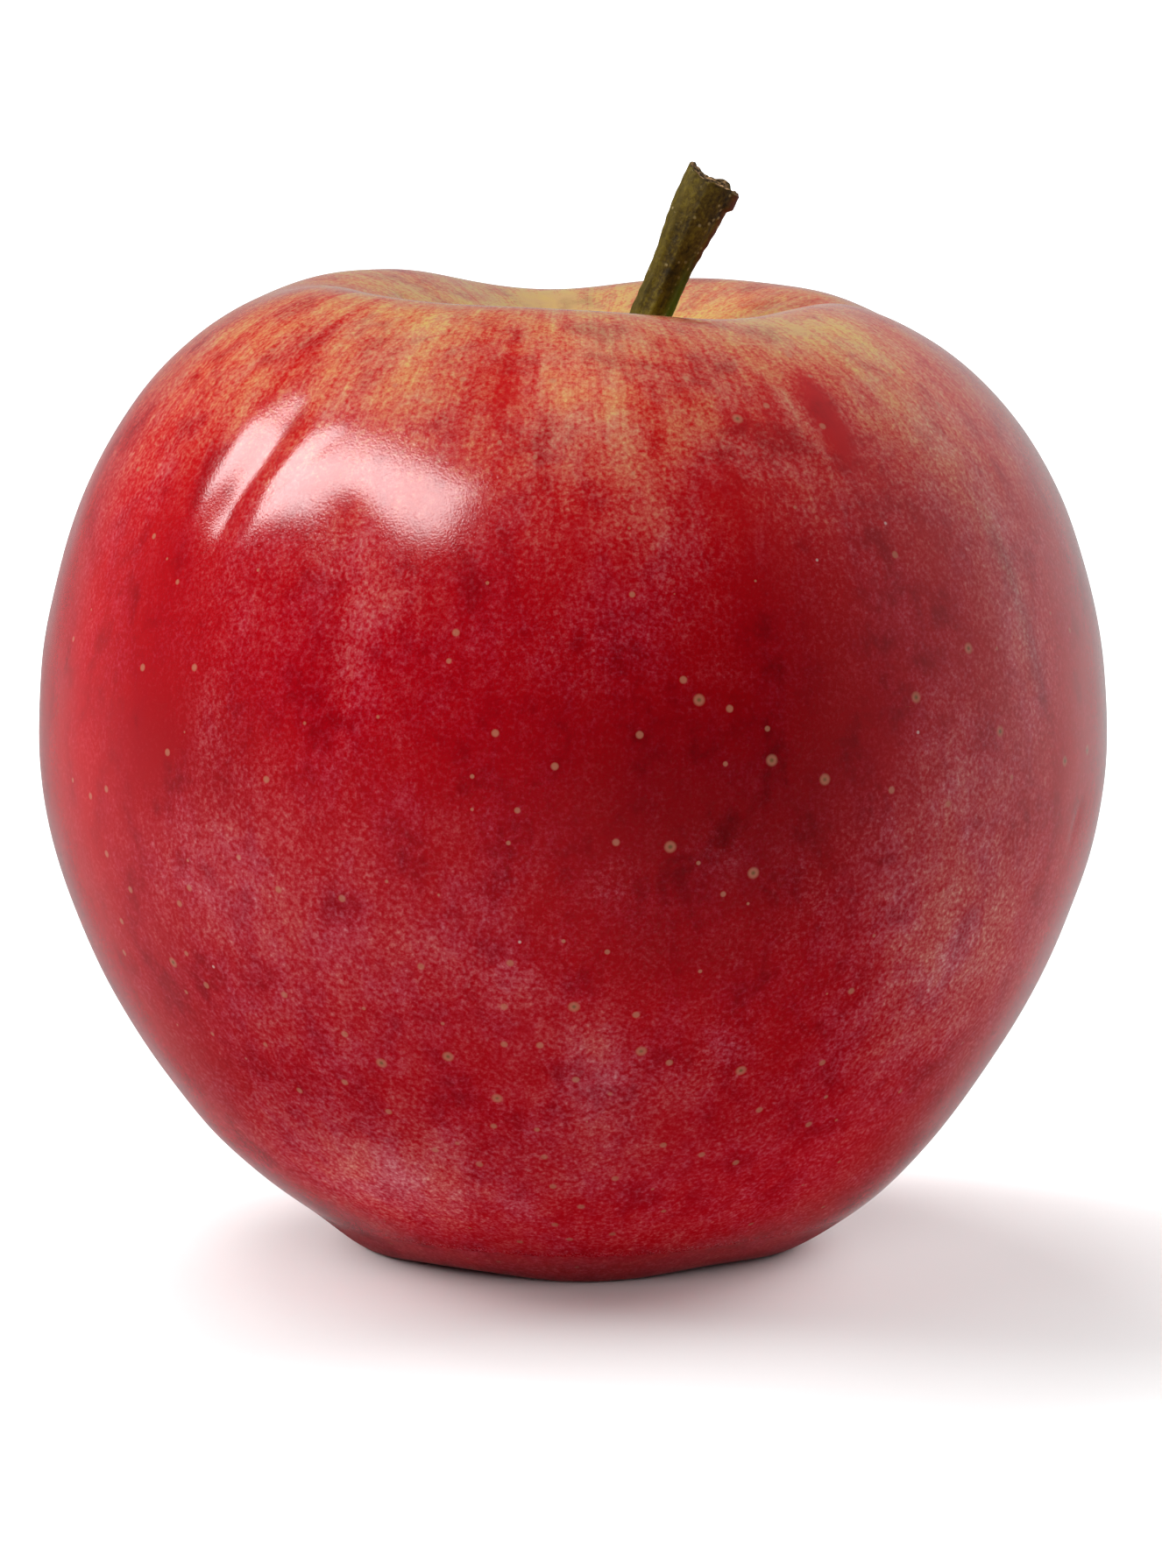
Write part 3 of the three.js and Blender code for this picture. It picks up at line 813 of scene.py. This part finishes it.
def calyx_material():
    nodes = new_nodes("dried_calyx")
    place = nodes.stretch(nodes.node("TexCoord", {}, {}, "Object"), (1 / MM, 1 / MM, 1 / MM))
    patch = nodes.noise(place, DRY_PATCH_SCALE, 4.0, 0.65)
    vein = nodes.noise(nodes.stretch(place, VEIN_STRETCH), 1.0, 3.0, 0.6)
    down = nodes.noise(place, DOWN_SCALE, 3.0, 0.7)
    colour = nodes.ramp(patch * 0.5 + vein * 0.5, DRY_BROWN)
    colour = nodes.mix(nodes.rise(down, 0.52, 0.66) * 0.5, colour, DOWN_GREY)
    normal = nodes.bump(vein * 0.6 + down * 0.4, CALYX_BUMP)
    dull = {"Roughness": CALYX_ROUGHNESS, "Specular IOR Level": DRY_SPECULAR}
    return finish(nodes, {"Base Color": colour, "Normal": normal, **dull})


def make_calyx():
    sepals = [sepal_loft(index) for index in range(SEPAL_COUNT)]
    piece = mesh_piece("dried_calyx", sepals + stamen_lofts(), calyx_material())
    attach(piece, "root")
    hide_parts("calyx")
    return piece


# Floor and light: each light's size, azimuth from +X, elevation and power; the window lights the fruit, its
# glint is what the skin mirrors, and lights of their own light the floor

FLOOR_HALF = 600.0
FLOOR_DROP = 0.02
FLOOR_COLOUR, FLOOR_ROUGHNESS = (0.9, 0.9, 0.9), 0.7
LIGHT_DISTANCE = 2400.0
WINDOW_SIZE, WINDOW_TURN, WINDOW_RISE, WINDOW_POWER = (2520.0, 1080.0), 200, 52, 80.0
GLINT_SIZE, GLINT_TURN, GLINT_RISE, GLINT_POWER = (2280.0, 740.0), 199, 46.6, 73.0
GLINT_LEAN = 16
CEILING_SIZE, CEILING_TURN, CEILING_RISE, CEILING_POWER = (2400.0, 2400.0), 150, 68, 36.0
FLOOR_LIGHT_SIZE = (1800.0, 1200.0)
FLOOR_LIGHTS = [
    ("left", 160, 28, 75.0), ("high", 120, 52, 40.0), ("right", 30, 30, 55.0), ("front", 275, 30, 20.0),
    ("top", 180, 78, 10.0),
]
ROOM_LIGHT = [
    ((0, 0.7, -0.71), 0.4), ((0.8, 0.55, 0.1), 0.75), ((-0.55, 0.3, -0.78), 0.62), ((0, -1, 0), 0.02),
]
ROOM_FADE = 0.8


def make_floor():
    half = FLOOR_HALF * MM
    corners = [(-half, -half), (half, -half), (half, half), (-half, half)]
    mesh = bpy.data.meshes.new("floor")
    mesh.from_pydata([(x, y, -FLOOR_DROP * MM) for x, y in corners], [], [(0, 1, 2, 3)])
    nodes = new_nodes("pale_floor")
    sockets = {"Base Color": opaque(FLOOR_COLOUR), "Roughness": FLOOR_ROUGHNESS}
    mesh.materials.append(finish(nodes, sockets))
    floor = bpy.data.objects.new("floor", mesh)
    bpy.context.scene.collection.objects.link(floor)
    floor.visible_glossy = False
    return floor


def make_soft_light(name, size, turn, rise, lean, power):
    """A wide soft light that faces the fruit from the given azimuth and elevation."""
    data = bpy.data.lights.new(name, "AREA")
    data.shape = "RECTANGLE"
    data.size, data.size_y = size[0] * MM, size[1] * MM
    data.energy = power
    light = bpy.data.objects.new(name, data)
    turn, rise = math.radians(turn), math.radians(rise)
    away = Vector((math.cos(rise) * math.cos(turn), math.cos(rise) * math.sin(turn), math.sin(rise)))
    light.location = Vector(CAMERA_TARGET * MM) + away * LIGHT_DISTANCE * MM
    spin = Quaternion((0, 0, 1), math.radians(lean))
    light.rotation_euler = (away.to_track_quat("Z", "Y") @ spin).to_euler()
    light.visible_camera = False
    bpy.context.scene.collection.objects.link(light)
    return light


def make_room():
    """The white room: light from each side, and plain white where the camera looks past the floor."""
    world = bpy.data.worlds.new("white_room")
    bpy.context.scene.world = world
    nodes = Nodes(world)
    direction = nodes.node("TexCoord", {}, {}, "Generated")
    height = nodes.node("SeparateXYZ", {}, {0: direction}, 2)
    level = 0
    for side, strength in ROOM_LIGHT:
        share = nodes.node("VectorMath", {"operation": "DOT_PRODUCT"}, {0: direction, 1: side}, "Value")
        share = nodes.node("Math", {"operation": "MAXIMUM"}, {0: share, 1: 0.0})
        level = share * share * strength + level
    level = level * nodes.rise(height, -ROOM_FADE, 0.0) + nodes.node("LightPath", {}, {}, "Is Camera Ray")
    nodes.feed(nodes.tree.nodes["Background"], {"Strength": level, "Color": (1, 1, 1, 1)})


def shine_only_on(light, pieces):
    """Keeps a light's shine to some pieces; every piece still throws its shadow."""
    lit = bpy.data.collections.new(light.name + "_lit")
    for piece in pieces:
        lit.objects.link(piece)
    light.light_linking.receiver_collection = lit


def make_lights(floor, apple):
    window = make_soft_light("window", WINDOW_SIZE, WINDOW_TURN, WINDOW_RISE, 0, WINDOW_POWER)
    window.visible_glossy = False
    glint = make_soft_light("window_glint", GLINT_SIZE, GLINT_TURN, GLINT_RISE, GLINT_LEAN, GLINT_POWER)
    glint.visible_diffuse = False
    ceiling = make_soft_light("ceiling", CEILING_SIZE, CEILING_TURN, CEILING_RISE, 0, CEILING_POWER)
    ceiling.visible_glossy = False
    for light in (window, glint, ceiling):
        shine_only_on(light, apple)
    for side, turn, rise, power in FLOOR_LIGHTS:
        light = make_soft_light(f"floor_{side}", FLOOR_LIGHT_SIZE, turn, rise, 0, power)
        shine_only_on(light, [floor])
    make_room()


make_camera()
make_lights(make_floor(), [make_fruit(), make_stalk(), make_calyx()])
bpy.context.scene.view_settings.view_transform = "Standard"
